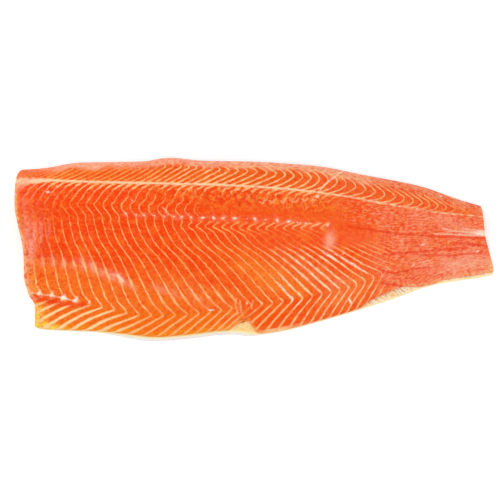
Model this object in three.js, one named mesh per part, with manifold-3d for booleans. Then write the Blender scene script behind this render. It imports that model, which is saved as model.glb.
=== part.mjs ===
// A raw side of salmon lying skin side down: belly trimmed, both ends cut square.
// Millimetres. +X runs from the head cut to the tail cut, +Y from the belly edge to the back, +Z up.
// The origin is under the middle of the fillet, on the surface that it lies on.
import * as THREE from "three";
import Module from "manifold-3d";

const wasm = await Module();
wasm.setup();

// ---- Driving dimensions ----
const LENGTH = 500; // head cut to tail cut
const WIDTH = 190; // belly edge to back, at the widest place
const THICKNESS = 30; // the loin, at its thickest
const SKIN = 1.2; // thickness of the skin
const GAP = 0.3; // between the flesh and the skin
const FLAKE = 9.03; // one muscle segment, along the backbone line
const GROOVE = 0.7; // depth of the groove between two flakes
const SKIN_LIFT = 9; // how far the skin rises round the back edge

const clamp = (value, low, high) => Math.min(high, Math.max(low, value));
const mix = (a, b, share) => a + (b - a) * share;
const bump = (at, middle, spread) => Math.exp(-(((at - middle) / spread) ** 2));
const smoothstep = (from, to, at) => {
  const share = clamp((at - from) / (to - from), 0, 1);
  return share * share * (3 - 2 * share);
};

// A smooth curve through a few points, level at each of its highs and lows (monotone cubic),
// with its arguments and values scaled from shares to millimetres.
function curveThrough(points, scaleIn = 1, scaleOut = 1) {
  const at = points.map((point) => point[0] * scaleIn);
  const value = points.map((point) => point[1] * scaleOut);
  const last = at.length - 1;
  const slope = (i) => (value[i + 1] - value[i]) / (at[i + 1] - at[i]);
  const tangent = at.map((_, i) => {
    if (i === 0 || i === last) return slope(Math.max(0, i - 1));
    const [before, after] = [slope(i - 1), slope(i)];
    return before * after > 0 ? (2 * before * after) / (before + after) : 0;
  });
  return (where) => {
    const x = clamp(where, at[0], at[last]);
    let i = 0;
    while (i < last - 1 && x > at[i + 1]) i++;
    const span = at[i + 1] - at[i];
    const t = (x - at[i]) / span;
    const rise = t * t * (3 - 2 * t);
    return (
      mix(value[i], value[i + 1], rise) +
      span * t * (1 - t) * ((1 - t) * tangent[i] - t * tangent[i + 1])
    );
  };
}

// ---- Outline, as shares of half the length and half the width ----
const alongLength = (points) => curveThrough(points, LENGTH / 2, WIDTH / 2);
const acrossWidth = (points) => curveThrough(points, WIDTH / 2, LENGTH / 2);

const backEdge = alongLength([
  [-1, 0.862],
  [-0.9, 0.879],
  [-0.74, 0.945],
  [-0.48, 0.957],
  [-0.36, 1],
  [-0.23, 0.968],
  [0, 0.956],
  [0.19, 0.926],
  [0.28, 0.904],
  [0.45, 0.816],
  [0.7, 0.685],
  [0.87, 0.527],
  [1, 0.43],
]);
const bellyEdge = alongLength([
  [-0.93, -0.86],
  [-0.89, -0.905],
  [-0.64, -0.937],
  [-0.56, -0.959],
  [-0.41, -1],
  [-0.31, -0.982],
  [-0.1, -0.927],
  [0.02, -0.958],
  [0.11, -0.926],
  [0.27, -0.817],
  [0.44, -0.685],
  [0.61, -0.538],
  [0.7, -0.449],
  [0.78, -0.396],
  [0.95, -0.328],
  [1, -0.3],
]);
const headCut = acrossWidth([
  [-1, -0.922],
  [-0.8, -0.915],
  [-0.65, -0.916],
  [-0.54, -0.94],
  [-0.32, -0.962],
  [-0.16, -0.962],
  [0, -0.967],
  [0.21, -0.986],
  [0.45, -1],
  [0.72, -1],
  [0.83, -0.995],
  [0.88, -0.982],
]);
const tailCut = acrossWidth([
  [-0.33, 0.985],
  [-0.3, 0.996],
  [-0.26, 1],
  [-0.04, 0.983],
  [0.1, 0.968],
  [0.24, 0.961],
  [0.41, 0.957],
  [0.48, 0.953],
]);

// How far the flesh stops short of the skin along the belly edge, in millimetres: a narrow lip all
// along, a torn notch in the middle, a bare strip of skin before the tail, and a wider lip at the tail.
const lip = curveThrough(
  [
    [-0.11, 1.2],
    [-0.03, 12.5],
    [0.015, 1.2],
    [0.42, 1.2],
    [0.5, 7],
    [0.61, 9.5],
    [0.69, 2],
    [0.74, 1.2],
    [0.79, 3],
    [0.95, 3.3],
  ],
  LENGTH / 2,
);
const fleshBellyEdge = (x) => bellyEdge(x) + lip(x);

// ---- Anatomy: the lines that the flakes turn at, from belly to back ----
const lowerTurn = alongLength([
  [-1, -0.48],
  [-0.9, -0.507],
  [-0.64, -0.642],
  [-0.47, -0.72],
  [-0.32, -0.731],
  [-0.18, -0.708],
  [0.04, -0.642],
  [0.2, -0.564],
  [0.37, -0.472],
  [0.44, -0.415],
  [0.52, -0.32],
  [0.6, -0.24],
  [1, -0.06],
]);
const boneLine = alongLength([
  [-1, 0.25],
  [0.3, 0.248],
  [0.55, 0.21],
  [0.75, 0.15],
  [1, 0.09],
]);
const backSeam = alongLength([
  [-1, 0.71],
  [-0.64, 0.672],
  [-0.1, 0.637],
  [0.11, 0.605],
  [0.32, 0.552],
  [0.53, 0.465],
  [0.74, 0.375],
  [1, 0.31],
]);

// The flakes follow the vertebrae, which are not quite evenly spaced: how far a line drifts.
const drift = curveThrough(
  [
    [-1.3, 9.6],
    [-0.84, 7],
    [-0.68, 4.8],
    [-0.52, 3.2],
    [-0.36, 4.1],
    [-0.2, 6.1],
    [0.12, 9.4],
    [0.44, 11.2],
    [0.9, 14],
  ],
  LENGTH / 2,
);

// How far each flake leans towards the tail, in millimetres, as its line runs away from the bone line.
// In the flank the lean grows towards the tail and eases off where the fillet narrows.
const FLANK_LEAN = { least: 20, more: 63, from: -210, over: 220 };
const TAIL_EASE = { from: 60, to: 230, share: 0.5 };
function flankLean(station) {
  const share = clamp((station - FLANK_LEAN.from) / FLANK_LEAN.over, -1, 1);
  const ease = 1 - TAIL_EASE.share * smoothstep(TAIL_EASE.from, TAIL_EASE.to, station);
  return (FLANK_LEAN.least + FLANK_LEAN.more * Math.sin((Math.PI / 2) * share)) * ease;
}
const flankBow = curveThrough([
  [0, 0],
  [0.12, 0.07],
  [0.25, 0.18],
  [0.4, 0.4],
  [0.6, 0.63],
  [0.8, 0.82],
  [1, 1],
]);
const bellySlope = curveThrough(
  [
    [-0.6, 1.9],
    [-0.44, 1.7],
    [-0.2, 1.55],
    [0.04, 1.2],
    [0.28, 0.98],
    [0.44, 0.9],
    [0.6, 0.7],
  ],
  LENGTH / 2,
);

// The lines of the belly bow, and towards the tail they bow more.
const bellyBow = (x) => mix(0.1, 0.3, smoothstep(-20, 40, x));

// How far the lines of the flank and the belly are out of the even pattern, in millimetres.
const flankNudge = curveThrough(
  [
    [-0.91, 2.8],
    [-0.7, 0.6],
    [-0.58, 0.2],
    [-0.4, 2],
    [-0.2, 4],
    [-0.1, 3.2],
    [0.08, -0.4],
    [0.22, -1.8],
    [0.3, -1.6],
    [0.4, 0.4],
  ],
  LENGTH / 2,
);
const bellyNudge = curveThrough(
  [
    [-0.91, 1],
    [-0.7, -0.8],
    [-0.6, 0],
    [-0.5, 1.9],
    [-0.4, 2],
    [-0.3, 1.1],
    [-0.2, -0.6],
    [-0.12, -3.2],
    [0, 0.9],
    [0.2, 0.7],
    [0.3, -0.3],
    [0.4, -1],
  ],
  LENGTH / 2,
);

// The lean across the loin and across the strip above the seam, near the head and near the tail, and
// the stations between which the one passes into the other.
const LOIN_LEANS = {
  change: [-165, -95],
  head: curveThrough([
    [0, 0],
    [0.13, -0.3],
    [0.26, -3.7],
    [0.42, -8.5],
    [0.58, -4.3],
    [0.79, 1.8],
    [0.9, 7],
    [1, 13],
  ]),
  tail: curveThrough([
    [0, 0],
    [0.1, 0.5],
    [0.2, -3],
    [0.3, -5.8],
    [0.42, -4.6],
    [0.5, -0.5],
    [0.58, 1.7],
    [0.7, 2.8],
    [0.82, 5],
    [0.9, 8.5],
    [1, 14.5],
  ]),
};
const STRIP_LEANS = {
  change: [-20, 35],
  head: curveThrough([
    [0, 5.3],
    [0.1, 10.5],
    [0.28, 18.6],
    [0.4, 23.6],
    [0.52, 28.4],
    [0.6, 32.4],
    [0.66, 33.5],
    [0.76, 31.6],
    [0.88, 27.5],
    [1, 23],
  ]),
  tail: curveThrough([
    [0, 11.2],
    [0.1, 17.6],
    [0.22, 24.2],
    [0.34, 28],
    [0.46, 30.9],
    [0.52, 31.2],
    [0.64, 29.6],
    [0.76, 23],
    [0.88, 15.5],
    [1, 9],
  ]),
};
const leanFrom = ({ change, head, tail }, station, t) =>
  mix(head(t), tail(t), smoothstep(...change, station));
// The zigzag of the strip is wider in the middle of the fillet and narrower near the tail.
const stripFan = (station) =>
  (1 + 0.22 * bump(station, -15, 34)) * (1 - 0.4 * smoothstep(50, 165, station));
const stripWander = curveThrough(
  [
    [-0.94, 1.2],
    [-0.8, 3],
    [-0.54, 3.6],
    [-0.44, 1.4],
    [-0.34, -2.3],
    [-0.24, -3.9],
    [-0.14, -4.5],
    [-0.04, -2.8],
    [0.16, -1.6],
    [0.26, 0],
    [0.36, 5.2],
    [0.46, 12.5],
    [0.56, 16],
    [0.68, 15.8],
  ],
  LENGTH / 2,
);

// Where a flake's line, named by its station on the bone line, crosses each row from belly to back.
const ZONES = {
  belly(station, t) {
    const turn = station + flankLean(station);
    const drop = t * (1 + bellyBow(turn) * (1 - t)) * (lowerTurn(turn) - bellyEdge(turn));
    const even = turn - bellySlope(turn) * drop;
    const x = even + bellyNudge(even);
    return [x, mix(lowerTurn(x), bellyEdge(x), t)];
  },
  flank(station, t) {
    const even = station + flankLean(station) * flankBow(t);
    const x = even + flankNudge(even) * t ** 2.5;
    return [x, mix(boneLine(x), lowerTurn(x), t)];
  },
  loin(station, t) {
    const x = station + leanFrom(LOIN_LEANS, station, t);
    return [x, mix(boneLine(x), backSeam(x), t)];
  },
  strip(station, t) {
    const x = station + leanFrom(STRIP_LEANS, station, t) * stripFan(station) + stripWander(station);
    return [x, mix(backSeam(x), backEdge(x), t)];
  },
};
const PAST_EDGE = 1.12; // the flakes are made a little past the outline, then trimmed to it
const ROWS = [
  ...[PAST_EDGE, 0.7, 0.35].map((t) => ["belly", t]),
  ...[1, 0.8, 0.6, 0.4, 0.25, 0.12].map((t) => ["flank", t]),
  ...[0, 0.13, 0.26, 0.42, 0.58, 0.79, 0.92].map((t) => ["loin", t]),
  ...[0.06, 0.3, 0.6, 0.85, 1, PAST_EDGE].map((t) => ["strip", t]),
];

// ---- Heights ----
// Height of the top across the fillet, from the belly edge (0) to the back (1), as a share of THICKNESS.
const crossSection = curveThrough([
  [0, 0.2],
  [0.08, 0.28],
  [0.2, 0.39],
  [0.4, 0.61],
  [0.55, 0.78],
  [0.66, 0.88],
  [0.78, 1],
  [0.88, 0.95],
  [0.95, 0.76],
  [1, 0.47],
]);
// The same along the length, as a share of the thickest place.
const fullness = curveThrough(
  [
    [-1, 0.93],
    [-0.5, 1],
    [0, 0.93],
    [0.4, 0.72],
    [0.7, 0.53],
    [1, 0.42],
  ],
  LENGTH / 2,
);
const acrossShare = (x, y) => clamp((y - bellyEdge(x)) / (backEdge(x) - bellyEdge(x)), 0, 1);

const TROUGH = { depth: 1.4, below: 7, spread: 9 }; // shallow trough where the backbone lay
const CREASE = { depth: 1, spread: 2.2 }; // crease along the back seam
// A low step where the belly lining was cut away, from the head cut to a third of the length.
const trimLine = alongLength([
  [-0.96, -0.14],
  [-0.7, -0.22],
  [-0.55, -0.38],
  [-0.4, -0.46],
  [-0.2, -0.52],
]);
const TRIM = { depth: 0.9, blur: 3, fadeFrom: -0.3 * (LENGTH / 2), fadeTo: -0.1 * (LENGTH / 2) };
const trimStep = (x, y) =>
  TRIM.depth *
  smoothstep(-TRIM.blur, TRIM.blur, trimLine(x) - y) *
  (1 - smoothstep(TRIM.fadeFrom, TRIM.fadeTo, x));
function topHeight(x, y) {
  const body = THICKNESS * crossSection(acrossShare(x, y)) * fullness(x);
  const trough = TROUGH.depth * bump(y, boneLine(x) - TROUGH.below, TROUGH.spread);
  const crease = CREASE.depth * bump(y, backSeam(x), CREASE.spread);
  return body - (trough + crease) * fullness(x) - trimStep(x, y);
}
const LIFT_FROM = 0.83; // share of the width where the skin starts to rise
const underside = (x, y) =>
  SKIN_LIFT * fullness(x) * clamp((acrossShare(x, y) - LIFT_FROM) / (1 - LIFT_FROM), 0, 1) ** 2;

// ---- Solids ----
// A closed slab on a grid: a top and a bottom sheet of points, joined round their edges.
function slab(columns, rows, topPoint, bottomPoint) {
  const points = [];
  const faces = [];
  const at = (sheet, i, j) => (sheet * (columns + 1) + i) * (rows + 1) + j;
  for (const point of [topPoint, bottomPoint])
    for (let i = 0; i <= columns; i++)
      for (let j = 0; j <= rows; j++) points.push(...point(i, j));
  const quad = (a, b, c, d) => faces.push(a, b, c, a, c, d);
  for (let i = 0; i < columns; i++)
    for (let j = 0; j < rows; j++) {
      quad(at(0, i, j), at(0, i + 1, j), at(0, i + 1, j + 1), at(0, i, j + 1));
      quad(at(1, i, j), at(1, i, j + 1), at(1, i + 1, j + 1), at(1, i + 1, j));
    }
  for (let i = 0; i < columns; i++) {
    quad(at(1, i, 0), at(1, i + 1, 0), at(0, i + 1, 0), at(0, i, 0));
    quad(at(0, i, rows), at(0, i + 1, rows), at(1, i + 1, rows), at(1, i, rows));
  }
  for (let j = 0; j < rows; j++) {
    quad(at(0, 0, j), at(0, 0, j + 1), at(1, 0, j + 1), at(1, 0, j));
    quad(at(1, columns, j), at(1, columns, j + 1), at(0, columns, j + 1), at(0, columns, j));
  }
  return new wasm.Manifold(
    new wasm.Mesh({
      numProp: 3,
      vertProperties: new Float32Array(points),
      triVerts: new Uint32Array(faces),
    }),
  );
}

// The point at a share of the length and of the width inside an outline, found by closing in on both.
const SETTLE = 6; // rounds that bring the point to rest
function inOutline(lengthShare, widthShare, lowEdge) {
  let x = mix(-LENGTH / 2, LENGTH / 2, lengthShare);
  let y = 0;
  for (let round = 0; round < SETTLE; round++) {
    y = mix(lowEdge(x), backEdge(x), widthShare);
    x = mix(headCut(y), tailCut(y), lengthShare);
  }
  return [x, y];
}

// Steps along the length, and shares of the width that are closer where the skin bends.
const LENGTH_STEPS = 96;
const WIDTH_SHARES = [0, 0.05, 0.15, 0.35, 0.6, 0.84, 0.89, 0.94, 0.975, 1];
function shaped(lowEdge, top, bottom) {
  const point = (height) => (i, j) => {
    const [x, y] = inOutline(i / LENGTH_STEPS, WIDTH_SHARES[j], lowEdge);
    return [x, y, height(x, y)];
  };
  return slab(LENGTH_STEPS, WIDTH_SHARES.length - 1, point(top), point(bottom));
}

// The flakes: two columns of points to a flake, a groove and a crest just past it, so that each
// flake leans over the next like a shingle. They sink into smooth flesh towards the tail.
const CREST_AT = 0.32; // share of a flake between its groove and its crest
const FIRST_FLAKE = -35;
const LAST_FLAKE = 28;
const TAIL_RELIEF = 0.3; // share of the relief that is left at the tail
const RIM_FROM = 0.85; // share of the width where the relief starts to fade into the back edge
const reliefShare = (x, y) =>
  mix(1, TAIL_RELIEF, smoothstep(0.25 * (LENGTH / 2), 0.6 * (LENGTH / 2), x)) *
  (1 - smoothstep(RIM_FROM, 0.97, acrossShare(x, y)));
function flakeSlab() {
  const columns = 2 * (LAST_FLAKE - FIRST_FLAKE);
  const place = (i, j) => {
    const isCrest = i % 2 === 1;
    const even = FLAKE * (FIRST_FLAKE + Math.floor(i / 2) + (isCrest ? CREST_AT : 0));
    const station = even + drift(even + drift(even));
    const [zone, t] = ROWS[j];
    const [x, y] = ZONES[zone](station, t);
    return { x, y, isCrest };
  };
  const top = (i, j) => {
    const { x, y, isCrest } = place(i, j);
    const relief = isCrest ? GROOVE / 3 : -GROOVE;
    return [x, y, topHeight(x, y) + relief * reliefShare(x, y)];
  };
  const bottom = (i, j) => {
    const { x, y } = place(i, j);
    return [x, y, -THICKNESS];
  };
  return slab(columns, ROWS.length - 1, top, bottom);
}

function makeMesh(name, solid, material) {
  const { numProp, vertProperties, triVerts } = solid.getMesh();
  const geometry = new THREE.BufferGeometry();
  geometry.setAttribute("position", new THREE.BufferAttribute(vertProperties, numProp));
  geometry.setIndex(new THREE.BufferAttribute(triVerts, 1));
  geometry.computeVertexNormals();
  const mesh = new THREE.Mesh(geometry, material);
  mesh.name = name;
  return mesh;
}

const underFlesh = (x, y) => underside(x, y) + SKIN + GAP;
const fleshOutline = shaped(fleshBellyEdge, () => 2 * THICKNESS, underFlesh);
const flesh = makeMesh(
  "flesh",
  flakeSlab().intersect(fleshOutline),
  new THREE.MeshStandardMaterial({ color: 0xf0692e, roughness: 0.35, metalness: 0 }),
);

const skin = makeMesh(
  "skin",
  shaped(bellyEdge, (x, y) => underside(x, y) + SKIN, underside),
  new THREE.MeshStandardMaterial({ color: 0xd8d2c4, roughness: 0.3, metalness: 0 }),
);

const fillet = new THREE.Group();
fillet.add(flesh, skin);

export default fillet;
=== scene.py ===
# %% [markdown]
# # A raw side of salmon
# A side of salmon is one long muscle on its skin. The muscle is built from thin W-shaped flakes, and
# sheets of pale fat part each flake from the next, so that the cut face shows rows of zigzag lines.
# This lesson dresses the two measured solids, the wet flesh and the skin under it, and adds the ends
# of the pin bones.
# The frame gives the solids and their box.

import bpy
import numpy as np
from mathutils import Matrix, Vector


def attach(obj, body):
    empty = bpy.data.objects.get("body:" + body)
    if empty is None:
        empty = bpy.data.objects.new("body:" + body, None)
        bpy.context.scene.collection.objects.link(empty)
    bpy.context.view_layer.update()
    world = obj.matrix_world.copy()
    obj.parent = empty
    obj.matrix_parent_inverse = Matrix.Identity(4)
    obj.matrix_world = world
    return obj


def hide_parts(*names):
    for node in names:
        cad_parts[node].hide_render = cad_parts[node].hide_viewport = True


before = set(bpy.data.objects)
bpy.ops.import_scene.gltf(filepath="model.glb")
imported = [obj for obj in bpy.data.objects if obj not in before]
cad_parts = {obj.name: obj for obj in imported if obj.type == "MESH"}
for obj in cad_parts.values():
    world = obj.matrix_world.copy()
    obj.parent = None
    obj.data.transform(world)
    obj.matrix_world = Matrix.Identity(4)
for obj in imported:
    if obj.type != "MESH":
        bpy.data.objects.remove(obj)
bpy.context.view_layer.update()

# %% [markdown]
# ## Curves instead of point lists
# An outline or a cross-section could be drawn as a long list of points. A few points and a smooth
# curve between them are easier to read and to change. The curve here never overshoots: it is level
# at each high and low, which keeps a belly edge from growing waves that nobody asked for.

# %% Mixing, stepping and smooth curves
MM = 0.001
HALF_LENGTH, HALF_WIDTH = 250.0, 95.0


def mix(a, b, share):
    """The value a share of the way from a to b."""
    return a + (b - a) * share


def step(low, high, at):
    """0 below low, 1 above high, and 3 s^2 - 2 s^3 in between, where s is the share of the way."""
    share = np.clip((at - low) / (high - low), 0, 1)
    return share * share * (3 - 2 * share)


def band(at, low, high, fall, end):
    """Rises from 0 to 1 between low and high, and sinks back to 0 between fall and end."""
    return step(low, high, at) * (1 - step(fall, end, at))


def hump(at, middle, spread):
    """A bell: e to the power of minus the squared distance from the middle, counted in spreads."""
    return np.exp(-(((at - middle) / spread) ** 2))


def curve(points, scale_in=1.0, scale_out=1.0):
    """A cubic between each two points. Its slope at a point is the harmonic mean of the slopes on
    both sides, or zero where they point different ways."""
    at, value = (np.array(points, float) * (scale_in, scale_out)).T
    span = np.diff(at)
    slope = np.diff(value) / span
    before, after = slope[:-1], slope[1:]
    agree = before * after > 0
    inner = np.where(agree, 2 * before * after / np.where(agree, before + after, 1), 0)
    tangent = np.concatenate([slope[:1], inner, slope[-1:]])

    def read(where):
        x = np.clip(where, at[0], at[-1])
        i = np.clip(np.searchsorted(at, x, side="right") - 1, 0, len(span) - 1)
        t = (x - at[i]) / span[i]
        rise = t * t * (3 - 2 * t)
        bend = (1 - t) * tangent[i] - t * tangent[i + 1]
        return mix(value[i], value[i + 1], rise) + span[i] * t * (1 - t) * bend

    return read


def along(points):
    """A curve over the length whose values are shares of half the width."""
    return curve(points, HALF_LENGTH, HALF_WIDTH)


def across(points):
    """A curve over the width whose values are shares of half the length."""
    return curve(points, HALF_WIDTH, HALF_LENGTH)


print("a curve through 0, 2 and 1:", curve([[0, 0], [1, 2], [2, 1]])(np.linspace(0, 2, 5)))

# %% [markdown]
# ## The outline
# The back edge is one long gentle bow. The belly edge was trimmed by knife, so it is less even, and it
# has a torn notch in the middle. Near the tail the flesh stops short of the skin.

# %% Edges of the fillet
back_edge = along(
    [[-1, 0.862], [-0.9, 0.879], [-0.74, 0.945], [-0.48, 0.957], [-0.36, 1], [-0.23, 0.968],
     [0, 0.956], [0.19, 0.926], [0.28, 0.904], [0.45, 0.816], [0.7, 0.685], [0.87, 0.527],
     [1, 0.43]]
)
belly_edge = along(
    [[-0.93, -0.86], [-0.89, -0.905], [-0.64, -0.937], [-0.56, -0.959], [-0.41, -1],
     [-0.31, -0.982], [-0.1, -0.927], [0.02, -0.958], [0.11, -0.926], [0.27, -0.817],
     [0.44, -0.685], [0.61, -0.538], [0.7, -0.449], [0.78, -0.396], [0.95, -0.328], [1, -0.3]]
)
head_cut = across(
    [[-1, -0.922], [-0.8, -0.915], [-0.65, -0.916], [-0.54, -0.94], [-0.32, -0.962],
     [-0.16, -0.962], [0, -0.967], [0.21, -0.986], [0.45, -1], [0.72, -1], [0.83, -0.995],
     [0.88, -0.982]]
)
tail_cut = across(
    [[-0.33, 0.985], [-0.3, 0.996], [-0.26, 1], [-0.04, 0.983], [0.1, 0.968], [0.24, 0.961],
     [0.41, 0.957], [0.48, 0.953]]
)
lip = curve(
    [[-0.11, 1.2], [-0.03, 12.5], [0.015, 1.2], [0.42, 1.2], [0.5, 7], [0.61, 9.5], [0.69, 2],
     [0.74, 1.2], [0.79, 3], [0.95, 3.3]],
    HALF_LENGTH,
)


def flesh_edge(x):
    """The belly edge plus the width of the lip of skin that the flesh leaves bare."""
    return belly_edge(x) + lip(x)


def inside_outline(length_share, width_share, low_edge):
    """Closes in on a point: y is a share of the way from the low edge to the back at x, and x is a
    share of the way from the head cut to the tail cut at y, each found from the other six times."""
    x = mix(-HALF_LENGTH, HALF_LENGTH, length_share)
    for _ in range(6):
        y = mix(low_edge(x), back_edge(x), width_share)
        x = mix(head_cut(y), tail_cut(y), length_share)
    return x, y


print("width at the middle, mm:", round(float(back_edge(0) - belly_edge(0)), 1))

# %% [markdown]
# ## Heights
# The loin is the thick part, close to the back, and the belly thins out to a flap. The skin lies flat
# on the table and rises round the back edge.

# %% Top and underside
THICKNESS, SKIN, SKIN_LIFT = 30.0, 1.2, 9.0
FLESH_GAP = 0.1
TROUGH_DEPTH, CREASE_DEPTH, TRIM_DEPTH = 1.4, 1.0, 0.9
cross_section = curve(
    [[0, 0.2], [0.08, 0.28], [0.2, 0.39], [0.4, 0.61], [0.55, 0.78], [0.66, 0.88], [0.78, 1],
     [0.88, 0.95], [0.95, 0.76], [1, 0.47]]
)
fullness = curve(
    [[-1, 0.93], [-0.5, 1], [0, 0.93], [0.4, 0.72], [0.7, 0.53], [1, 0.42]], HALF_LENGTH
)
bone_line = along([[-1, 0.25], [0.3, 0.248], [0.55, 0.21], [0.75, 0.15], [1, 0.09]])
back_seam = along(
    [[-1, 0.71], [-0.64, 0.672], [-0.1, 0.637], [0.11, 0.605], [0.32, 0.552], [0.53, 0.465],
     [0.74, 0.375], [1, 0.31]]
)
trim_line = along([[-0.96, -0.14], [-0.7, -0.22], [-0.55, -0.38], [-0.4, -0.46], [-0.2, -0.52]])


def width_share(x, y):
    """How far across the fillet a point is, from 0 at the belly edge to 1 at the back."""
    return np.clip((y - belly_edge(x)) / (back_edge(x) - belly_edge(x)), 0, 1)


def trimmed(x, y):
    """1 where the belly lining was cut away, fading out along the fillet."""
    return step(-3, 3, trim_line(x) - y) * (1 - step(-75, -25, x))


def top_height(x, y):
    """Thickness times the cross-section times the fullness, less a trough beside the bone line, a
    crease at the back seam and the low step where the lining was trimmed."""
    trough = TROUGH_DEPTH * hump(y, bone_line(x) - 7, 9)
    crease = CREASE_DEPTH * hump(y, back_seam(x), 2.2)
    body = THICKNESS * cross_section(width_share(x, y)) - (trough + crease)
    return body * fullness(x) - TRIM_DEPTH * trimmed(x, y)


def under_height(x, y):
    """Zero on the table, and rising as the square of the way through the last sixth of the width."""
    return SKIN_LIFT * fullness(x) * np.clip((width_share(x, y) - 0.83) / 0.17, 0, 1) ** 2


print("height at the middle of the loin, mm:", round(float(top_height(-100.0, 50.0)), 1))

# %% [markdown]
# ## Flake lines
# Each line of fat is named by its station: where it crosses the line of the bones. From there it leans
# towards the tail in the flank, turns back in the belly, and zigzags over the loin to the strip above
# the seam. To draw the lines at any point, the sum is run backwards: which station passes through here?

# %% How the lines lean
FLAKE = 9.03
lower_turn = along(
    [[-1, -0.48], [-0.9, -0.507], [-0.64, -0.642], [-0.47, -0.72], [-0.32, -0.731], [-0.18, -0.708],
     [0.04, -0.642], [0.2, -0.564], [0.37, -0.472], [0.44, -0.415], [0.52, -0.32], [0.6, -0.24],
     [1, -0.06]]
)
drift = curve(
    [[-1.3, 9.6], [-0.84, 7], [-0.68, 4.8], [-0.52, 3.2], [-0.36, 4.1], [-0.2, 6.1], [0.12, 9.4],
     [0.44, 11.2], [0.9, 14]],
    HALF_LENGTH,
)
flank_bow = curve(
    [[0, 0], [0.12, 0.07], [0.25, 0.18], [0.4, 0.4], [0.6, 0.63], [0.8, 0.82], [1, 1], [1.2, 1.2]]
)
belly_slope = curve(
    [[-0.6, 1.9], [-0.44, 1.7], [-0.2, 1.55], [0.04, 1.2], [0.28, 0.98], [0.44, 0.9], [0.6, 0.7]],
    HALF_LENGTH,
)
loin_head = curve(
    [[0, 0], [0.13, -0.3], [0.26, -3.7], [0.42, -8.5], [0.58, -4.3], [0.79, 1.8], [0.9, 7], [1, 13]]
)
loin_tail = curve(
    [[0, 0], [0.1, 0.5], [0.2, -3], [0.3, -5.8], [0.42, -4.6], [0.5, -0.5], [0.58, 1.7], [0.7, 2.8],
     [0.82, 5], [0.9, 8.5], [1, 14.5]]
)
hook_size = curve([[-130, 0], [-90, 1], [-60, 5], [-30, 8], [0, 10], [60, 11], [95, 0]])
hook_shape = curve([[0, -0.4], [1, 1], [1.5, 0.5], [2.2, 0]])
corner = curve([[20, 1.8], [75, 3.5], [105, 8], [140, 11]])
flank_nudge = curve(
    [[-0.91, 2.8], [-0.7, 0.6], [-0.58, 0.2], [-0.4, 2], [-0.2, 4], [-0.1, 3.2], [0.08, -0.4],
     [0.22, -1.8], [0.3, -1.6], [0.4, 0.4]],
    HALF_LENGTH,
)
flick_size = curve(
    [[-0.91, 3.2], [-0.82, 4.7], [-0.72, 6.2], [-0.58, 6], [-0.4, 4.7], [-0.1, 4.5], [0, 3], [0.2, 0]],
    HALF_LENGTH,
)
flick_shape = curve(
    [[0.45, 0], [0.65, -0.14], [0.78, -0.16], [0.9, -0.06], [1, 0.78], [1.15, 2.2]]
)
belly_nudge = curve(
    [[-0.91, 15.9], [-0.8, 13.8], [-0.7, 12.8], [-0.6, 13.3], [-0.5, 15.4], [-0.4, 15.6],
     [-0.3, 14.4], [-0.2, 12], [-0.12, 8], [0, 0.9], [0.2, 0.7], [0.3, -0.3], [0.4, -1]],
    HALF_LENGTH,
)
strip_head = curve(
    [[0, 4.8], [0.1, 10.3], [0.28, 19.7], [0.4, 25], [0.52, 30.2], [0.6, 34.2], [0.66, 35],
     [0.76, 32], [0.88, 27.5], [1, 23]]
)
strip_middle = curve(
    [[0, 4.8], [0.1, 10.3], [0.28, 19.7], [0.4, 25.3], [0.48, 27.9], [0.55, 28.6], [0.64, 26.5],
     [0.76, 20], [0.88, 11], [1, 1]]
)
strip_bulge = curve([[0.35, 0], [0.5, 2.2], [0.58, 4.2], [0.7, 5.2], [0.85, 3], [1, 0]])
strip_tail = curve(
    [[0, 10.7], [0.1, 17.6], [0.22, 25], [0.34, 28.9], [0.45, 31.5], [0.51, 31.7], [0.64, 29],
     [0.76, 23], [0.88, 15.5], [1, 9]]
)
strip_wander = curve(
    [[-0.94, 1.2], [-0.8, 3], [-0.54, 3.6], [-0.44, 1.4], [-0.34, -2.3], [-0.24, -3.9],
     [-0.14, -4.5], [-0.04, -2.8], [0.16, -1.6], [0.26, 0], [0.36, 5.2], [0.46, 12.5], [0.56, 16],
     [0.68, 15.8]],
    HALF_LENGTH,
)


MEAN_LEAN, LEAN_SWING = 20, 63


def flank_lean(station):
    """A quarter sine wave either side of the mean lean, halved where the fillet narrows."""
    swing = np.sin(np.pi / 2 * np.clip((station + 210) / 220, -1, 1))
    return (MEAN_LEAN + LEAN_SWING * swing) * (1 - 0.5 * step(60, 230, station))


def settle(rule, start, rounds=16):
    """Finds the number that a rule gives back unchanged, moving about two thirds of the way each
    round."""
    value = start
    for _ in range(rounds):
        value = mix(value, rule(value), 0.65)
    return value


def row_shares(x, y):
    """How far a point is down the flank, up the loin and up the strip, each from 0 at the start of
    the row to 1 at its end."""
    bone, turn, seam = bone_line(x), lower_turn(x), back_seam(x)
    return (bone - y) / (bone - turn), (y - bone) / (seam - bone), (y - seam) / (back_edge(x) - seam)


print("lean of the flank at the head and at the middle, mm:", flank_lean(np.array([-210.0, 0.0])))

# %% [markdown]
# The four rows of lines meet at the lower turn, the bone line and the back seam. A hard choice between
# the flank and the belly would give each line a corner. The larger of the two, rounded off, gives the
# soft hook of the real ones.


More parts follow.
